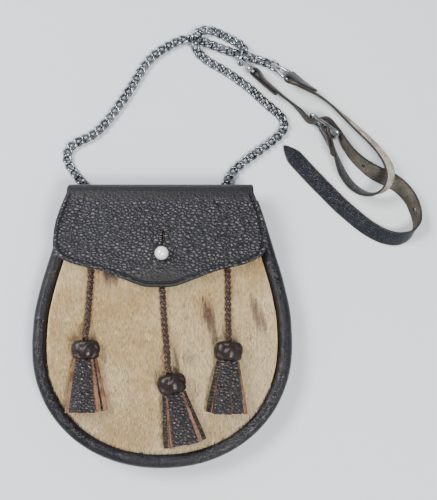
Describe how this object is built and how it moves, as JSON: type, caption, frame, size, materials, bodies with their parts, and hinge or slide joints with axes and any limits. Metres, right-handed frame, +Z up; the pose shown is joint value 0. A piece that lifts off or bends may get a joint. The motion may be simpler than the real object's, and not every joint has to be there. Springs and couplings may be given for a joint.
{
  "type": "sporran pouch",
  "caption": "Rounded leather pouch with a hide front, flap over a ball stud, three tassels on cords, and a chain belt ending in a buckled strap.",
  "frame": {"origin": "on the ground under the middle of the back panel, with the pouch lying on its back", "axes": "+Z up, out of the pouch's front; +Y from the pouch's bottom to its flap fold and on to the chain; +X to the right as seen from the front"},
  "size_m": [0.2756, 0.3238, 0.0396],
  "materials": {
    "shell": "smooth dark brown-black leather, satin",
    "border": "rolled smooth dark leather, satin",
    "hide": "short tan hair on hide, matte",
    "flap": "pebble-grained black-brown leather, semi-gloss",
    "tassel": "dark brown leather strips and braid, satin",
    "strap": "strap leather with a grained face and a pale flesh side, matte",
    "chain": "dark polished nickel",
    "stud": "bright polished nickel",
    "hardware": "polished nickel"
  },
  "bodies": {
    "root": {"back_panel": "shell", "gusset": "shell", "border": "border", "front_hide": "hide", "flap": "flap", "stud": "stud", "long_strap": "strap", "buckle_strap": "strap", "buckle": "hardware", "buckle_prong": "hardware", "strap_ring_long": "hardware", "strap_ring_short": "hardware", "chain_left": "chain", "chain_right": "chain", "ring_tab_left": "shell", "ring_tab_right": "shell", "d_ring_left": "hardware", "d_ring_right": "hardware", "tassel_cord_left": "tassel", "cord_keeper_left": "tassel", "tassel_knot_left": "tassel", "tassel_skirt_left": "tassel", "tassel_cord_middle": "tassel", "cord_keeper_middle": "tassel", "tassel_knot_middle": "tassel", "tassel_skirt_middle": "tassel", "tassel_cord_right": "tassel", "cord_keeper_right": "tassel", "tassel_knot_right": "tassel", "tassel_skirt_right": "tassel"}
  },
  "joints": []
}
